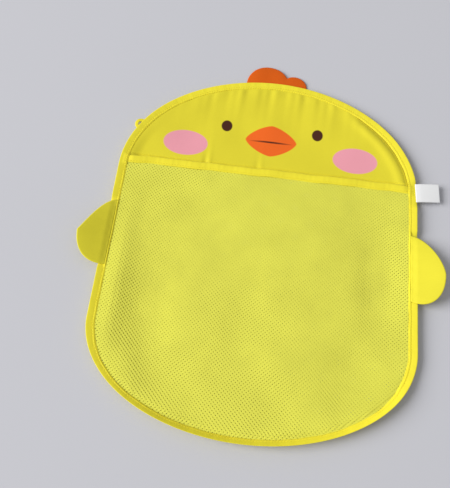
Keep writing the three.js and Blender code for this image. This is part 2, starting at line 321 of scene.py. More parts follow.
def add_light():
    """A wide soft lamp from the left and an even fill."""
    data = bpy.data.lights.new("key", "AREA")
    data.shape = "DISK"
    data.size = KEY_SIZE
    data.energy = KEY_POWER
    lamp = bpy.data.objects.new("key", data)
    lamp.location = KEY_FROM
    lamp.rotation_euler = (-KEY_FROM).to_track_quat("-Z", "Y").to_euler()
    bpy.context.scene.collection.objects.link(lamp)
    world = bpy.data.worlds.new("world")
    world.use_nodes = True
    background = world.node_tree.nodes["Background"]
    background.inputs["Color"].default_value = FILL_COLOUR
    background.inputs["Strength"].default_value = FILL_STRENGTH
    bpy.context.scene.world = world
    bpy.context.scene.view_settings.view_transform = "Standard"


# Materials


class Shader:
    """A material with one Principled shader, and short ways to add nodes to it."""

    def __init__(self, name):
        self.material = bpy.data.materials.new(name)
        self.material.use_nodes = True
        self.tree = self.material.node_tree
        self.surface = self.tree.nodes["Principled BSDF"]

    def add(self, kind, inputs=(), **settings):
        """A new node with its settings and inputs."""
        node = self.tree.nodes.new(kind)
        for key, value in settings.items():
            setattr(node, key, value)
        for key, value in dict(inputs).items():
            self.put(value, node.inputs[key])
        return node

    def put(self, value, socket):
        """Links a socket to another, or gives it a constant value."""
        if isinstance(value, bpy.types.NodeSocket):
            self.tree.links.new(value, socket)
        else:
            socket.default_value = value

    def math(self, operation, first, second=0.0):
        """The result of a sum, product or other operation."""
        return self.add("ShaderNodeMath", {0: first, 1: second}, operation=operation).outputs[0]

    def fit(self, value, low, high, to_low, to_high):
        """A value between low and high, brought between two other limits."""
        limits = {"Value": value, "From Min": low, "From Max": high, "To Min": to_low, "To Max": to_high}
        return self.add("ShaderNodeMapRange", limits).outputs[0]

    def noise(self, place, size, detail):
        """Noise with lumps of a size in millimetres."""
        inputs = {"Vector": place, "Scale": 1 / (size * MM), "Detail": detail}
        return self.add("ShaderNodeTexNoise", inputs).outputs[0]

    def threads(self, place, direction, period):
        """Waves across a direction, one for each thread, with a period in millimetres."""
        scale = math.pi / 10 / (period * MM)
        inputs = {"Vector": place, "Scale": scale, "Distortion": 0.6, "Detail": 1.0}
        wave = self.add("ShaderNodeTexWave", inputs, bands_direction=direction, wave_profile="SIN")
        return wave.outputs["Fac"]

    def set(self, name, value):
        """Gives the surface a constant value, or links a socket to it."""
        self.put(value, self.surface.inputs[name])

    def relief(self, height, strength, distance):
        """A bump in the surface, with a distance in millimetres."""
        inputs = {"Height": height, "Strength": strength, "Distance": distance * MM}
        self.set("Normal", self.add("ShaderNodeBump", inputs).outputs["Normal"])


def colour_mix(shader, share, first, second):
    """Mix of two colours, each a socket or a linear colour."""
    node = shader.add("ShaderNodeMix", data_type="RGBA")
    sockets = {s.identifier: s for s in node.inputs}
    shader.put(share, sockets["Factor_Float"])
    shader.put(first, sockets["A_Color"])
    shader.put(second, sockets["B_Color"])
    return next(s for s in node.outputs if s.identifier == "Result_Color")


def tint(colour, factor):
    """A linear colour made lighter or darker."""
    return (*[min(1.0, part * factor) for part in colour[:3]], 1.0)


def weave(name, colour, period, roughness, sheen, bump=0.25, mottle=0.07, place="Object", printed=None):
    """Woven cloth: two sets of threads, uneven dye and a soft sheen."""
    shader = Shader(name)
    place = shader.add("ShaderNodeTexCoord").outputs[place]
    dye = linear(colour)
    cloud = shader.noise(place, CLOTH_PATCH, 3.0)
    shade = colour_mix(shader, cloud, tint(dye, 1 - mottle), tint(dye, 1 + mottle))
    fibre = shader.noise(place, CLOTH_FIBRE, 4.0)
    shade = colour_mix(shader, shader.fit(fibre, 0.3, 0.7, 0.0, 0.35), shade, tint(dye, 0.9))
    if printed:
        shade = printed(shader, place, shade)
    warp = shader.threads(place, "X", period)
    weft = shader.threads(place, "Y", period)
    height = shader.math("ADD", shader.math("MULTIPLY", warp, weft), shader.math("MULTIPLY", fibre, 0.5))
    shader.set("Base Color", shade)
    shader.set("Roughness", shader.fit(fibre, 0.25, 0.75, roughness - 0.08, roughness + 0.08))
    shader.set("Sheen Weight", sheen)
    shader.set("Sheen Roughness", 0.4)
    shader.set("Specular IOR Level", 0.15)
    shader.relief(height, bump, 0.12)
    return shader.material


def oval(shader, place, centre, radii, power, edge=0.5):
    """1 inside an oval or, with a lower power, a rounded diamond, and 0 outside."""
    back = [-part * MM for part in centre] + [0]
    shrink = [1 / (radius * MM) for radius in radii] + [0]
    moved = shader.add("ShaderNodeVectorMath", {0: place, 1: back}, operation="ADD")
    scaled = shader.add("ShaderNodeVectorMath", {0: moved.outputs[0], 1: shrink}, operation="MULTIPLY")
    parts = shader.add("ShaderNodeSeparateXYZ", {0: scaled.outputs[0]})
    across = shader.math("POWER", shader.math("ABSOLUTE", parts.outputs[0]), power)
    along = shader.math("POWER", shader.math("ABSOLUTE", parts.outputs[1]), power)
    size = shader.math("ADD", across, along)
    soft = power * edge / min(radii)
    return shader.fit(size, 1 - soft, 1 + soft, 1.0, 0.0)


def chick_print(shader, place, shade):
    """A plain chick's face: cheeks, a beak with a closed mouth, and dot eyes."""
    marks = []
    for side in (-1, 1):
        for colour, ((x, y), radii) in ((PRINT_PINK, CHEEK), (PRINT_BROWN, EYE)):
            marks.append((colour, (side * x, y), radii, OVAL))
    marks.append((PRINT_ORANGE, *BEAK, ROUNDED_DIAMOND))
    marks.append((PRINT_BROWN, *BEAK_LINE, OVAL))
    for colour, centre, radii, power in marks:
        shade = colour_mix(shader, oval(shader, place, centre, radii, power), shade, linear(colour))
    return shade


def net_yarn(name, colour):
    """Dull yarn with an uneven dye."""
    shader = Shader(name)
    place = shader.add("ShaderNodeTexCoord").outputs["Object"]
    dye = linear(colour)
    cloud = shader.noise(place, YARN_PATCH, 4.0)
    fibre = shader.noise(place, YARN_FIBRE, 3.0)
    shade = colour_mix(shader, cloud, tint(dye, 0.86), tint(dye, 1.14))
    shade = colour_mix(shader, shader.fit(fibre, 0.35, 0.65, 0.0, 0.3), shade, tint(dye, 0.86))
    shader.set("Base Color", shade)
    shader.set("Roughness", shader.fit(fibre, 0.3, 0.7, 0.6, 0.8))
    shader.set("Specular IOR Level", 0.12)
    shader.relief(fibre, 0.3, 0.08)
    return shader.material


def floor_finish():
    """Plain matt grey."""
    shader = Shader("floor")
    place = shader.add("ShaderNodeTexCoord").outputs["Object"]
    grey = linear(FLOOR_GREY)
    cloud = shader.noise(place, FLOOR_PATCH, 2.0)
    shade = colour_mix(shader, cloud, tint(grey, 0.985), tint(grey, 1.015))
    shader.set("Base Color", shade)
    shader.set("Roughness", 0.85)
    shader.set("Specular IOR Level", 0.1)
    return shader.material


# Meshes


def add_piece(name, points, faces, materials, slots=None, maps=(), smooth=True):
    """A mesh object from points in millimetres; maps are (name, one pair for each corner of each face)."""
    mesh = bpy.data.meshes.new(name)
    mesh.from_pydata((np.asarray(points, float) * MM).tolist(), [], [list(face) for face in faces])
    for material in materials:
        mesh.materials.append(material)
    if slots is not None:
        mesh.polygons.foreach_set("material_index", slots)
    for map_name, pairs in maps:
        layer = mesh.uv_layers.new(name=map_name)
        layer.data.foreach_set("uv", np.asarray(pairs, float).ravel())
    work = bmesh.new()
    work.from_mesh(mesh)
    bmesh.ops.recalc_face_normals(work, faces=work.faces)
    work.to_mesh(mesh)
    work.free()
    mesh.polygons.foreach_set("use_smooth", np.full(len(mesh.polygons), smooth))
    mesh.update()
    piece = bpy.data.objects.new(name, mesh)
    bpy.context.scene.collection.objects.link(piece)
    return piece


def quads(rows, columns, wrap=False):
    """Faces of a grid of points; with wrap its last row joins its first."""
    last = rows if wrap else rows - 1
    row, column = np.meshgrid(np.arange(last), np.arange(columns - 1), indexing="ij")
    here = row * columns + column
    after = (row + 1) % rows * columns + column
    return np.stack([corner.ravel() for corner in (here, here + 1, after + 1, after)], axis=1)


def tube(stations, sides, wrap=False):
    """Faces of a tube of rings of points, with each corner's station and its place round the ring."""
    grid = quads(stations, sides + 1, wrap)
    station, place = grid // (sides + 1), grid % (sides + 1)
    return station * sides + place % sides, station, place


def lengths_round(points):
    """Length along a closed line at each of its points, and back at the first."""
    steps = np.linalg.norm(np.diff(points, axis=0, append=points[:1]), axis=1)
    return np.concatenate([[0], np.cumsum(steps)])


def shell(name, top, bottom, materials):
    """A closed sheet between two grids of points; its top takes the first material, the rest the last."""
    rows, columns, _ = top.shape
    count = rows * columns
    face_of_top = quads(rows, columns)
    number = np.arange(count).reshape(rows, columns)
    rim = np.concatenate([number[0, :-1], number[:-1, -1], number[-1, :0:-1], number[:0:-1, 0]])
    after = np.roll(rim, -1)
    sides = np.stack([after, rim, rim + count, after + count], axis=1)
    faces = np.concatenate([face_of_top, face_of_top[:, ::-1] + count, sides])
    slots = np.full(len(faces), len(materials) - 1, np.int32)
    slots[: len(face_of_top)] = 0
    points = np.concatenate([top.reshape(-1, 3), bottom.reshape(-1, 3)])
    return add_piece(name, points, faces, materials, slots)


def sweep(name, sections, material, closed):
    """A tape from rings of points, one for each station; its map runs along and across it, in metres."""
    stations, sides, _ = sections.shape
    faces, station, place = tube(stations, sides, wrap=closed)
    across = lengths_round(sections[0])
    along = lengths_round(sections.mean(axis=1))
    unwrapped = station.copy()
    unwrapped[(station == 0) & (station.max(axis=1)[:, None] == stations - 1) & closed] = stations
    pairs = np.stack([along[unwrapped], across[place]], axis=2) * MM
    face_list = faces.tolist()
    corner_pairs = pairs.reshape(-1, 2).tolist()
    if not closed:
        for end in (0, stations - 1):
            face_list.append([end * sides + i for i in range(sides)])
            corner_pairs.extend([[along[end] * MM, across[i] * MM] for i in range(sides)])
    return add_piece(name, sections.reshape(-1, 3), face_list, [material], maps=[("tape", corner_pairs)])


def stitches(name, starts, ends, up, material):
    """Short threads laid from start to end, arched along up, with both ends pulled into the cloth."""
    share = np.array([0, 0.12, 0.5, 0.88, 1])
    radius = STITCH_RADIUS * np.array([0.3, 0.85, 1, 0.85, 0.3])
    lift = STITCH_RADIUS * np.array([-1.0, 0.1, 0.45, 0.1, -1.0])
    sides = 6
    around = np.linspace(0, 2 * np.pi, sides, endpoint=False)
    thread, _, _ = tube(len(share), sides)
    last = (len(share) - 1) * sides
    points = []
    faces = []
    for start, end, top in zip(starts, ends, up):
        along = end - start
        side = np.cross(top, along / np.linalg.norm(along))
        base = len(points) * sides
        for t, r, h in zip(share, radius, lift):
            centre = start + along * t + top * h
            points.append(centre + r * (np.cos(around)[:, None] * side + np.sin(around)[:, None] * top))
        faces.extend((thread + base).tolist())
        faces.append([base + i for i in range(sides)])
        faces.append([base + last + i for i in range(sides)])
    return add_piece(name, np.concatenate(points), faces, [material])


# Heights of the sheets


def past_ends(node, y):
    """How far y lies past the ends of a CAD node, and below 0 between them."""
    low, high = corners(node)
    return np.maximum(low[1] - y, y - high[1])


def along_wing(y):
    """1 along the seam of a wing and 0 past its ends."""
    return 1 - ease(past_ends("left_wing_back", y), *WING_SEAM_ENDS)


def beside_wing(points):
    """1 along the seam of a wing and 0 away from it."""
    return along_wing(points[:, 1]) * np.exp(-np.maximum(inside_binding(points), 0) / 6)


def back_net_sunk(inwards):
    """0 at the binding and 1 where the back net lies on the floor."""
    return ease(inwards, *BACK_NET_SLOPE)


def front_net_z(points):
    """The front net leaves the binding and sags in slack waves, down to the back net at its lowest."""
    x, y = points[:, 0], points[:, 1]
    inwards = inside_binding(points)
    freed = 1 - np.exp(-np.maximum(inwards, 0) / POCKET_SAG_LENGTH)
    down = np.clip((MOUTH_Y - y) / (MOUTH_Y - BINDING_LOW[1]), 0, 1)
    slack = waves(x + 0.35 * y, (0.8, 205, 0.4), (0.35, 88, 2.1)) + waves(y - 0.2 * x, (0.5, 150, 1.0))
    for (dent_x, dent_y), (wide, tall), rise in NET_DENTS:
        slack = slack + rise * np.exp(-((x - dent_x) / wide) ** 2 - ((y - dent_y) / tall) ** 2)
    lip = (FRONT_NET_LIP + WING_LIP * beside_wing(points)) * ease(inwards, -0.8, 0.7)
    z = FRONT_NET_EDGE_Z + lip + freed * (slack * ease(down, 0.0, 0.15) - POCKET_SAG)
    lowest = BACK_NET_EDGE_Z + (BACK_NET_FLOOR_Z + NETS_APART - BACK_NET_EDGE_Z) * back_net_sunk(inwards)
    clear = z - lowest
    return lowest + 0.5 * (clear + np.sqrt(clear ** 2 + CONTACT_SOFTNESS))


def mouth_z(x):
    """Height of the front net in the band."""
    return front_net_z(np.column_stack([x, np.full_like(x, MOUTH_Y - 4)]))


def back_net_z(points):
    """The back net sinks from the binding to the floor and meets the panel at the mouth."""
    x, y = points[:, 0], points[:, 1]
    sunk = back_net_sunk(inside_binding(points))
    ripple = 0.25 * (1 + waves(x + 0.4 * y, (0.5, 46, 0), (0.5, 71, 1)))
    z = BACK_NET_EDGE_Z + (BACK_NET_FLOOR_Z - BACK_NET_EDGE_Z + ripple) * sunk
    under_panel = mouth_z(x) - MOUTH_DEPTH
    return z + sunk * (1 - ease(MOUTH_Y - y, 4, 50)) * (under_panel - z)


def crown_gathers(x, y):
    """Gathers along the crown, fading down the panel and towards the shoulders."""
    top = CROWN_Y + CROWN_RISE * np.sqrt(np.clip(1 - (x / HALF_WIDTH) ** 2, 0, 1))
    below = top - y
    gathers = waves(x + 0.05 * below, (0.4, 13.5, 0.3), (0.28, 9.7, 1.7), (0.8, 22, 0.9))
    return gathers * np.exp(-below / GATHER_LENGTH) * ease(below, 6, 14) * np.exp(-((x - 5) / 90) ** 4)


def mouth_folds(x, y):
    """Small upright folds above the mouth, each a groove with a ridge at its right."""
    above = np.maximum(y - MOUTH_Y, 0)
    folds = 0
    for fold_x, depth in MOUTH_FOLDS:
        beside = (x - fold_x) / FOLD_WIDTH
        ridge = 0.5 * np.exp(-(beside - 2.1) ** 2 - above / 13)
        groove = np.exp(-beside ** 2 - above / 9)
        folds = folds + depth * (ridge - groove)
    return folds * ease(y - MOUTH_Y, -2, 2)


def shoulder_crease(x, inwards):
    """A crease with a soft ridge, along the binding of the right shoulder."""
    ridge = 0.9 * np.exp(-((inwards - 9) / 4.5) ** 2)
    groove = 1.5 * np.exp(-((inwards - 0.5) / 3.2) ** 2)
    return ease(x, 85, 110) * (ridge - groove)


def panel_z(points):
    """The panel sags from its binding and meets the band at the mouth, with gathers and small folds."""
    x, y = points[:, 0], points[:, 1]
    inwards = inside_binding(points)
    z = PANEL_EDGE_Z + PANEL_LIP * ease(inwards, -0.6, 0.5)
    inwards = np.maximum(inwards, 0)
    z = z - PANEL_SAG * (1 - np.exp(-(inwards / PANEL_SAG_LENGTH) ** 1.3))
    z = z + crown_gathers(x, y)
    soft = waves(0.8 * x + 0.5 * y, (0.28, 58, 0.7)) + waves(0.9 * x - 0.35 * y, (0.22, 47, 2.2))
    z = z + soft * ease(inwards, 0, 18)
    above_mouth = np.maximum(y - MOUTH_Y, 0)
    free = ease(inwards, 0, 12)
    under_band = mouth_z(x) - PANEL_DEPTH
    groove = MOUTH_GROOVE * np.exp(-((above_mouth - BAND_RISE - 1.6) / 1.4) ** 2)
    z = z + (1 - ease(above_mouth, 0, 55)) * free * (under_band - z) - groove * free
    return z + mouth_folds(x, y) + shoulder_crease(x, inwards)


# Pieces of the bag


def over_band(y):
    """Rise of the binding where an end of the mouth band lies under it."""
    return BAND_SWELL * (1 - ease(np.abs(y - 0.5 * (BAND_Y + MOUTH_Y)), 4, 9))


def binding_section():
    """Points round the folded tape: inset from the rim, height, height beside a wing, share of puckers."""
    inner_edge = [(9.2, 5.0, 5.1, 0.2), (9.15, 5.3, 5.6, 0.4), (8.95, 5.5, 6.0, 0.6), (8.6, 5.5, 6.3, 0.6)]
    raised_strip = [
        (8.2, 5.72, 6.8, 1), (7.7, 5.82, 6.95, 1), (7.2, 5.8, 6.9, 1), (6.8, 5.68, 6.5, 0.8),
        (6.4, 5.45, 5.6, 0.5),
    ]
    front = [
        (5.9, 5.52, 5.55, 0.6), (5.0, 5.58, 5.55, 0.8), (3.8, 5.6, 5.6, 1), (2.4, 5.62, 5.6, 1),
        (1.1, 5.62, 5.5, 0.7), (0.3, 5.58, 5.3, 0.4),
    ]
    rim = [(0.08, 5.4, 5.2, 0.2), (0.0, 4.7, 4.7, 0.1), (0.1, 3.9, 3.9, 0.1), (0.5, 3.45, 3.45, 0.2)]
    back = [
        (1.3, 3.2, 3.2, 0.2), (2.6, 2.9, 2.9, 0.2), (5.0, 2.45, 2.45, 0.2), (6.4, 2.45, 2.45, 0.1),
        (7.5, 2.2, 2.2, 0.2), (9.0, 2.2, 2.2, 0.1),
    ]
    slot = [
        (9.0, 2.6, 2.6, 0.1), (6.4, 2.85, 2.85, 0), (3.0, 3.3, 3.3, 0), (1.6, 3.9, 3.9, 0),
        (1.6, 4.9, 4.9, 0), (3.0, 5.1, 5.1, 0), (6.4, 5.05, 5.05, 0),
    ]
    return inner_edge + raised_strip + front + rim + back + slot


def edge_stitches(slope, length, thread):
    """Two rows of stitches in front, on each side of the raised strip, and one row behind."""
    count = round(length / STITCH_PITCH)
    station = np.arange(count) * len(slope) / count
    slope_here = np.interp(station, np.arange(len(slope)), slope)
    seam = []
    # inset from the rim, height, rise beside a wing, and the side on which the row lies
    for inset, z, wing_rise, side in ((6.4, 5.52, -0.05, 1), (8.7, 5.53, 0.65, 1), (6.4, 2.42, -0.05, -1)):
        line, _ = outline(inset, count)
        normals = outward(line)
        line = line + (inset * BASE_DRAW * at_base(normals))[:, None] * normals
        half = 0.5 * STITCH_LENGTH * np.column_stack([-normals[:, 1], normals[:, 0]])
        raised = along_wing(line[:, 1]) * wing_rise + over_band(line[:, 1])
        height = (z + raised * (side > 0) + slope_here * (BINDING_WIDTH - inset))[:, None]
        starts = np.hstack([line - half, height])
        ends = np.hstack([line + half, height])
        seam.append((starts, ends, np.tile([0.0, 0, side], (count, 1))))
    sewn = stitches("edge_binding_stitches", *[np.concatenate(part) for part in zip(*seam)], thread)
    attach(sewn, "bag")


def edge_binding(material, thread):
    """Tape folded over the rim, with a raised strip between two rows of stitches at its inner edge."""
    ring, length = outline(0, BINDING_STATIONS)
    normals = outward(ring)
    place = np.arange(len(ring)) * length / len(ring)
    beside = along_wing(ring[:, 1])
    under_label = (1 - ease(past_ends("side_label", ring[:, 1]), *LABEL_SEAM_ENDS)) * (ring[:, 0] > 0)
    held = np.maximum(beside, under_label)
    at_crown = ease(normals[:, 1], 0.6, 0.98)
    curled = at_base(normals) * ease(normals[:, 0], -0.75, -0.1)
    slope = (RIM_LIFT * (1 - at_crown) + BASE_RIM_LIFT * curled) * (1 - held)
    pucker = waves(
        place, (0.015, length / 415, 0.4), (0.015, length / 241, 0), (0.025, length / 163, 1.3),
        (0.05, length / 97, 0.5), (0.07, length / 41, 2),
    )
    drift = waves(place, (0.12, length / 57, 0.6), (0.15, length / 23, 1.9))
    section = binding_section()
    sections = np.empty((len(ring), len(section), 3))
    for i, (inset, z, wing_z, share) in enumerate(section):
        shift = inset * (1 - BASE_DRAW * at_base(normals)) + drift * (inset / BINDING_WIDTH)
        sections[:, i, :2] = ring - shift[:, None] * normals
        lift = over_band(ring[:, 1]) * ease(inset, 3, 6) * (z > BINDING_Z + 2)
        flat = held if inset < 5 else beside
        curl = slope * max(0, BINDING_WIDTH - inset)
        sections[:, i, 2] = z + flat * (wing_z - z) + share * pucker * (1 - 0.6 * flat) + lift + curl
    piece = sweep("edge_binding_tape", sections, material, closed=True)
    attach(piece, "bag")
    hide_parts("edge_binding")
    edge_stitches(slope, length, thread)


def face_panel(printed, plain):
    """The cloth of the face, from under the mouth band up to the crown."""
    rows, columns = 130, 300
    reach = HALF_WIDTH - PANEL_INSET
    rise = CROWN_RISE - PANEL_INSET
    foot = BAND_Y + 1
    angle = np.linspace(np.arcsin((foot + 2 - CROWN_Y) / rise), np.pi / 2, columns // 2)
    angle = np.concatenate([np.pi - angle, angle[-2::-1]])
    grid = np.empty((rows, len(angle), 2))
    for r, share in enumerate(np.linspace(0, 1, rows)):
        grid[r, :, 0] = reach * np.cos(angle)
        grid[r, :, 1] = foot + share * (CROWN_Y + rise * np.sin(angle) - foot)
    z = panel_z(grid.reshape(-1, 2)).reshape(rows, -1)
    top = np.dstack([grid, z])
    bottom = np.dstack([grid, z - PANEL_THICKNESS])
    piece = shell("face_panel_cloth", top, bottom, [printed, plain])
    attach(piece, "bag")
    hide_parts("face_panel")


def clip_to_ring(ring, start, direction):
    """The stretch of a straight line inside a convex anticlockwise ring, or None."""
    normals = outward(ring)
    speed = normals @ direction
    gap = ((ring - start) * normals).sum(1)
    enters = speed < -1e-9
    leaves = speed > 1e-9
    low = (gap[enters] / speed[enters]).max()
    high = (gap[leaves] / speed[leaves]).min()
    return (low, high) if high - low > NET_STEP else None


def net_strands(inset, top_y, angle):
    """Straight lines of a square net inside the bag's outline and below top_y, in two crossing sets."""
    ring, _ = outline(inset, 400)
    reach = int(np.hypot(HALF_WIDTH, TOP_Y) / NET_PITCH)
    found = []
    for family, turn in enumerate((angle, angle + math.pi / 2)):
        direction = np.array([math.cos(turn), math.sin(turn)])
        across = np.array([-direction[1], direction[0]])
        nearest, farthest = (ring @ across).min(), (ring @ across).max()
        for number in range(-reach, reach + 1):
            start = across * number * NET_PITCH
            crosses = nearest < number * NET_PITCH < farthest
            stretch = clip_to_ring(ring, start, direction) if crosses else None
            if stretch is None:
                continue
            low, high = stretch
            stop = (top_y - start[1]) / direction[1]
            low, high = (low, min(high, stop)) if direction[1] > 0 else (max(low, stop), high)
            if high - low > NET_STEP:
                found.append((family, start, direction, across, low, high))
    return found


def net(name, inset, top_y, angle, height_of, material):
    """A net of flat strands with slanted edges, one set laid on the other and sunk into it."""
    strands = net_strands(inset, top_y, angle)
    longest = max(high - low for *_, low, high in strands)
    half_wide = NET_STRAND_WIDTH / 2
    half_thick = NET_STRAND_THICKNESS / 2
    flat = half_wide - NET_STRAND_EDGE
    section = [
        (half_wide, 0), (flat, half_thick), (-flat, half_thick),
        (-half_wide, 0), (-flat, -half_thick), (flat, -half_thick),
    ]
    sides = len(section)
    points = []
    faces = []
    pairs = []
    base = 0
    for number, (family, start, direction, across, low, high) in enumerate(strands):
        count = max(3, int((high - low) / NET_STEP) + 1)
        run = np.linspace(low, high, count)
        line = start + run[:, None] * direction
        z = height_of(line) + (family - 0.5) * NET_STRAND_STEP
        ring = np.empty((count, sides, 3))
        for i, (out, up) in enumerate(section):
            ring[:, i] = np.column_stack([line + out * across, z + up])
        points.append(ring.reshape(-1, 3))
        strand, station, place = tube(count, sides)
        faces.extend((base + strand).tolist())
        along = (run - low)[station] / longest
        side = (number + place / (sides + 1)) / len(strands)
        pairs.append(np.stack([along, side], axis=2).reshape(-1, 2))
        for end in (0, count - 1):
            faces.append([base + end * sides + i for i in range(sides)])
            pairs.append(np.tile([[(run[end] - low) / longest, number / len(strands)]], (sides, 1)))
        base += count * sides
    maps = [("OFBake", np.concatenate(pairs))]
    return add_piece(name, np.concatenate(points), faces, [material], maps=maps, smooth=False)


def sewn_share(points):
    """How far the pocket's front follows its swing: not at the sewn rim, and fully at the middle."""
    inwards = np.clip(inside_binding(points), 0, None)
    return 1 - (1 - np.clip(inwards / (HALF_WIDTH - BINDING_WIDTH), 0, 1)) ** 2


def blend_pocket(piece):
    """Bakes the piece's transform and works out how far each point would follow the pocket's swing, none at
    the sewn sides and foot; these weights are not applied.
    """
    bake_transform(piece)
    places = np.array([vertex.co for vertex in piece.data.vertices]) / MM
    weights = sewn_share(places[:, :2]).astype(np.float32)


def nets(material):
    """The back net, sewn to the panel at the mouth, and the front net, held in the mouth band."""
    back = net("back_net_yarn", BACK_NET_INSET, MOUTH_Y - 3, BACK_NET_TURN, back_net_z, material)
    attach(back, "bag")
    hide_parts("back_net")
    front = net("front_net_yarn", FRONT_NET_INSET, MOUTH_Y - 2, FRONT_NET_TURN, front_net_z, material)
    blend_pocket(front)
    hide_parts("front_net")
    cut, _ = outline(NET_CUT_INSET, 400)
    cut[:, 1] = np.minimum(cut[:, 1], MOUTH_Y - 3)


def mouth_binding(material, thread):
    """Tape folded over the top edge of the front net, rippled along its length."""
    angle = math.asin((MOUTH_Y - CROWN_Y) / (CROWN_RISE - BINDING_WIDTH))
    end = (HALF_WIDTH - BINDING_WIDTH) * math.cos(angle) + BAND_TUCK
    x = np.linspace(-end, end, 260)
    from_end = end - np.abs(x)
    free = ease(from_end, 2, 27)
    opened = 0.3 + 0.7 * ease(from_end, 2, 8)
    base_z = mouth_z(x) + 0.25 + 0.2 * free
    # up from the lower edge, of a band 9 wide, and out from the net
    section_width = 9
    section = [
        (0.0, -0.05), (0.03, 0.2), (0.4, 0.45), (1.4, 0.65), (2.0, 0.6), (2.6, 0.85),
        (4.4, 1.2), (6.6, 1.35), (8.1, 1.3), (8.8, 0.9), (9.0, 0.2), (8.8, -0.5),
        (8.1, -0.9), (5.0, -1.0), (2.0, -0.9), (0.1, -0.8), (0.0, -0.5), (4.0, -0.55),
        (7.9, -0.5), (8.2, 0.0), (7.9, 0.5), (4.0, 0.4), (2.0, 0.1),
    ]
    sway = free * (BAND_RISE + waves(x, (0.35, 71, 0.2), (0.2, 33, 1.1)))
    lift = free * waves(x, (0.35, 83, 2.0), (0.1, 29, 0.7))
    pucker = free * waves(x, (0.04, 7.3, 0), (0.03, 5.1, 1))
    sections = np.empty((len(x), len(section), 3))
    for i, (up, out) in enumerate(section):
        sections[:, i, 0] = x
        sections[:, i, 1] = BAND_Y + up * (MOUTH_Y - BAND_Y) / section_width + sway
        sections[:, i, 2] = base_z + out * opened + lift + pucker * (out > 0.6)
    piece = sweep("mouth_binding_tape", sections, material, closed=False)
    blend_pocket(piece)
    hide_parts("mouth_binding")
    seam_end = end - 5
    count = int(2 * seam_end / STITCH_PITCH)
    middle = np.linspace(-seam_end, seam_end, count)
    seam_y = BAND_Y + BAND_SEAM_RISE + np.interp(middle, x, sway)
    seam_z = np.interp(middle, x, base_z + lift) + BAND_SEAM_OUT
    starts = np.column_stack([middle - STITCH_LENGTH / 2, seam_y, seam_z])
    ends = np.column_stack([middle + STITCH_LENGTH / 2, seam_y, seam_z])
    sewn = stitches("mouth_binding_stitches", starts, ends, np.tile([0.0, 0, 1], (count, 1)), thread)
    blend_pocket(sewn)


# Wings and crest: two layers, sewn round and turned, so that their edges are round


def bezier(points, t):
    """Points of a cubic curve from its four control points."""
    a, b, c, d = (np.array(p, float) for p in points)
    t = np.asarray(t)[:, None]
    return (1 - t) ** 3 * a + 3 * t * (1 - t) ** 2 * b + 3 * t ** 2 * (1 - t) * c + t ** 3 * d


def patch(bottom, top, left, right):
    """A grid between four boundary lines that meet at their ends."""
    rows, columns = len(left), len(bottom)
    v = np.linspace(0, 1, rows)[:, None, None]
    u = np.linspace(0, 1, columns)[None, :, None]
    across = (1 - v) * bottom[None] + v * top[None]
    along = (1 - u) * left[:, None] + u * right[:, None]
    low_corners = (1 - u) * (1 - v) * bottom[0] + u * (1 - v) * bottom[-1]
    high_corners = (1 - u) * v * top[0] + u * v * top[-1]
    return across + along - (low_corners + high_corners)


def turned_pouch(body, nodes, grid, free_edge, pressed, middle_z, puff, material):
    """Two layers, sewn and turned at their free edge and pressed flat near the seam that holds them."""
    rows, columns, _ = grid.shape
    flat = grid.reshape(-1, 2)
    dense, length = evenly(free_edge, 900)
    inwards, number = distance_to(flat, dense)
    place = number * length / len(dense)
    rounded = np.sqrt(np.clip(1 - (1 - np.clip(inwards / LAYER_RIM, 0, 1)) ** 2, 0, 1))
    pinch = 1 + waves(place, (0.13, 6.7, 0), (0.1, 10.3, 1.2)) * np.exp(-inwards / 4)
    swell = 1 - np.exp(-np.maximum(inwards - LAYER_RIM, 0) / 7)
    opened = 1 - 0.7 * pressed
    full = (rounded + puff * swell * pinch).reshape(rows, columns)
    height = 0.08 + 0.8 * opened * full
    depth = 0.08 + 0.5 * opened * full
    under_front = height - np.minimum(LAYER_THICKNESS, height - 0.02)
    over_back = np.minimum(LAYER_THICKNESS, depth - 0.02) - depth
    for node, above, below in zip(nodes, (height, over_back), (under_front, -depth)):
        top = np.dstack([grid, middle_z + above])
        bottom = np.dstack([grid, middle_z + below])
        piece = shell(f"{node}_cloth", top, bottom, [material])
        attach(piece, body)
        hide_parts(node)


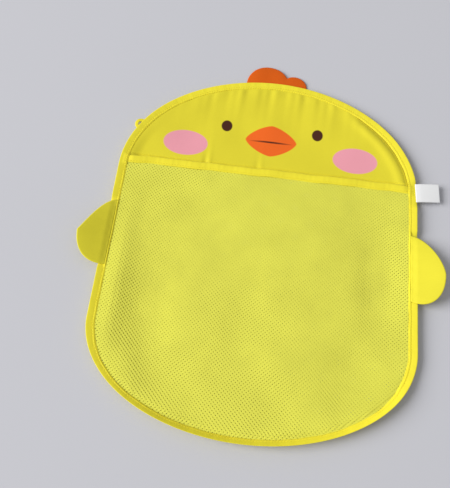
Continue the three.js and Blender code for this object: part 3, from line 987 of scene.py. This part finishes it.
def wing(side, material):
    """A half-round wing that curls up from its seam on the binding."""
    body = "right_wing" if side > 0 else "left_wing"
    low, high = corners(f"{body}_back")
    reach = high[0] - low[0]
    seam_x = low[0] if side > 0 else high[0]
    centre_y = high[1] - WING_HALF_SEAM
    # in shares of the reach and of half the seam: the left wing's upper edge is straight, the right's droops
    if side > 0:
        lower = [(0, -1.04), (0.62, -1.28), (1.04, -0.87), (1.04, -0.24)]
        upper = [(1.04, -0.24), (0.99, 0.1), (0.57, 0.81), (0, 0.92)]
    else:
        lower = [(0, -1), (0.6, -1.08), (1.0, -0.8), (1.04, -0.155)]
        upper = [(1.04, -0.155), (0.8, 0.2), (0.45, 0.93), (0, 1)]
    t = np.linspace(0, 1, 60)
    edge = np.vstack([bezier(lower, t), bezier(upper, t)[1:]])
    edge, _ = evenly(edge * np.array([reach, WING_HALF_SEAM]), 240)
    corner_low, corner_high = 75, 168
    columns, rows = 40, 64
    grid = patch(
        evenly(edge[: corner_low + 1], columns)[0],
        evenly(edge[corner_high:][::-1], columns)[0],
        evenly(np.array([edge[0], edge[-1]]), rows)[0],
        evenly(edge[corner_low : corner_high + 1], rows)[0],
    )
    out, along = grid[..., 0], grid[..., 1]
    curl = WING_CURL * (out / reach) ** 1.15 + 0.5 * np.sin(along / 11 + 1.0) * (out / reach)
    puckers = 0.18 * np.sin(along / 1.9) * np.exp(-out / 7) * ease(out, 0, 3)
    middle_z = WING_SEAM_Z + curl + puckers
    pressed = 1 - ease(out, 0, 7)
    place = np.array([seam_x, centre_y])
    grid = grid * np.array([side, 1]) + place
    edge = edge * np.array([side, 1]) + place
    nodes = (f"{body}_front", f"{body}_back")
    turned_pouch(body, nodes, grid, edge, pressed, middle_z, WING_PUFF, material)


def crest(material):
    """A comb of a large and a small lobe behind the crown."""
    large, small, spacing = CREST_LARGE_RADIUS, CREST_SMALL_RADIUS, CREST_LOBE_SPACING
    span = large + spacing + small
    large_x = large - span / 2
    small_x = large_x + spacing
    notch = (spacing + (large ** 2 - small ** 2) / spacing) / 2
    large_end = math.acos(notch / large)
    small_start = math.acos((notch - spacing) / small)
    base_y = TOP_Y - BINDING_WIDTH
    arc = np.linspace(math.pi, large_end, 120)
    first = np.column_stack([large_x + large * np.cos(arc), TOP_Y + large * np.sin(arc)])
    arc = np.linspace(small_start, 0, 80)
    second = np.column_stack([small_x + small * np.cos(arc), TOP_Y + small * np.sin(arc)])
    edge = np.vstack([[[-span / 2, base_y]], first, second, [[span / 2, base_y]]])
    columns, rows = 120, 36
    outer, _ = evenly(edge, columns)
    foot = np.column_stack([np.linspace(-span / 2, span / 2, columns), np.full(columns, base_y)])
    share = np.linspace(0, 1, rows)[:, None, None]
    grid = (1 - share) * foot[None] + share * outer[None]
    x, y = grid[..., 0], grid[..., 1]
    middle_z = CREST_SEAM_Z + CREST_RISE * ease(y, TOP_Y, TOP_Y + 22) + 0.15 * np.sin(x / 5)
    pressed = 1 - ease(y, TOP_Y - 1, TOP_Y + 7)
    nodes = ("crest_front", "crest_back")
    turned_pouch("crest", nodes, grid, edge, pressed, middle_z, CREST_PUFF, material)


def hang_loop(side, tucked, material):
    """A loop of narrow tape behind the shoulder."""
    node = "right_hang_loop" if side > 0 else "left_hang_loop"
    body = "right_loop" if side > 0 else "left_loop"
    joint = next(j for j in frame["joints"] if j["child"] == body)
    seam = np.array(joint["pos_m"]) / MM
    along = np.array(joint["axis"])
    out = np.array([side * abs(along[1]), abs(along[0]), 0]) * (-1 if tucked else 1)
    radius = (LOOP_WIDTH - LOOP_TAPE_WIDTH) / 2
    bend = BINDING_WIDTH + LOOP_REACH - LOOP_WIDTH / 2
    arc = np.linspace(0, np.pi, 26)
    leg = np.linspace(0, bend, 9)[:-1]
    path = np.concatenate([
        np.column_stack([np.full_like(leg, radius), leg]),
        np.column_stack([radius * np.cos(arc), bend + radius * np.sin(arc)]),
        np.column_stack([np.full_like(leg, -radius), leg[::-1]]),
    ])
    inner = left_of(path)
    angle = np.linspace(0, 2 * np.pi, 14, endpoint=False)
    wide = LOOP_TAPE_WIDTH / 2 * np.sign(np.cos(angle)) * np.abs(np.cos(angle)) ** 0.5
    thick = LOOP_HALF_THICKNESS * np.sign(np.sin(angle)) * np.abs(np.sin(angle)) ** 0.6
    rise = (0.0 if tucked else LOOP_RISE) * ease(path[:, 1], 6, 16) + 0.12 * np.sin(path[:, 1] * 1.3)
    sections = np.empty((len(path), len(angle), 3))
    for i in range(len(angle)):
        local = path + wide[i] * inner
        sections[:, i] = seam + local[:, :1] * along + local[:, 1:] * out
        sections[:, i, 2] += thick[i] + rise
    piece = sweep(f"{node}_tape", sections, material, closed=False)
    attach(piece, body)
    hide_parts(node)


def side_label(material):
    """One strip of white tape, folded at its outer end and sewn on the rim, with nothing on it."""
    low, high = corners("side_label")
    length = high[0] - low[0]
    reach = length - LABEL_FOLD
    straight = np.linspace(0, reach, 28)
    gap = LABEL_FOLD * (0.5 + 0.5 * ease(straight, 0, 6))
    turn = np.linspace(-np.pi / 2, np.pi / 2, 9)[1:-1]
    path = np.concatenate([
        np.column_stack([straight, -gap]),
        np.column_stack([reach + LABEL_FOLD * np.cos(turn), LABEL_FOLD * np.sin(turn)]),
        np.column_stack([straight, gap])[::-1],
    ])
    half_leaf = LABEL_LEAF / 2 * left_of(path)
    ring = np.concatenate([path + half_leaf, (path - half_leaf)[::-1]])
    half_width = 0.5 * (high[1] - low[1])
    middle = 0.5 * (low + high)
    across = np.linspace(-half_width, half_width, 20)
    droop = LABEL_DROOP * (np.clip(ring[:, 0] - 3, 0, None) / length) ** 1.5
    sections = np.empty((len(across), len(ring), 3))
    for r, up in enumerate(across):
        bow = 0.25 * np.sin(up / 7) * np.clip(ring[:, 0] / length, 0, 1)
        sections[r, :, 0] = low[0] + ring[:, 0] * math.cos(LABEL_TURN) - up * math.sin(LABEL_TURN)
        sections[r, :, 1] = middle[1] + up + (math.sin(LABEL_TURN) + LABEL_SLANT) * ring[:, 0]
        sections[r, :, 2] = middle[2] + ring[:, 1] - droop + bow
    piece = sweep("side_label_tape", sections, material, closed=False)
    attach(piece, "label")
    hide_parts("side_label")


def add_floor():
    """A plain floor under the bag."""
    reach = 3  # metres each way
    corners_round = [(-reach, -reach, 0), (reach, -reach, 0), (reach, reach, 0), (-reach, reach, 0)]
    mesh = bpy.data.meshes.new("floor")
    mesh.from_pydata(corners_round, [], [(0, 1, 2, 3)])
    mesh.materials.append(floor_finish())
    floor = bpy.data.objects.new("floor", mesh)
    bpy.context.scene.collection.objects.link(floor)


add_camera()
add_light()
add_floor()

panel_cloth = weave("panel_cloth", PANEL_YELLOW, 0.5, 0.55, 0.08)
panel_print = weave("panel_print", PANEL_YELLOW, 0.5, 0.55, 0.08, printed=chick_print)
tape = weave("yellow_tape", TAPE_YELLOW, 0.6, 0.55, 0.08, place="UV")
wing_cloth = weave("wing_cloth", WING_YELLOW, 0.5, 0.55, 0.08)
crest_cloth = weave("crest_cloth", CREST_ORANGE, 0.5, 0.65, 0.03)
label_tape = weave("label_tape", LABEL_WHITE, 0.4, 0.5, 0.05, mottle=0.015, place="UV")
sewing_thread = weave("sewing_thread", THREAD_YELLOW, 0.3, 0.5, 0.1, bump=0.1)
yarn = net_yarn("net_yarn", NET_YELLOW)

edge_binding(tape, sewing_thread)
face_panel(panel_print, panel_cloth)
nets(yarn)
mouth_binding(tape, sewing_thread)
wing(-1, wing_cloth)
wing(1, wing_cloth)
crest(crest_cloth)
hang_loop(-1, False, tape)
hang_loop(1, True, tape)
side_label(label_tape)
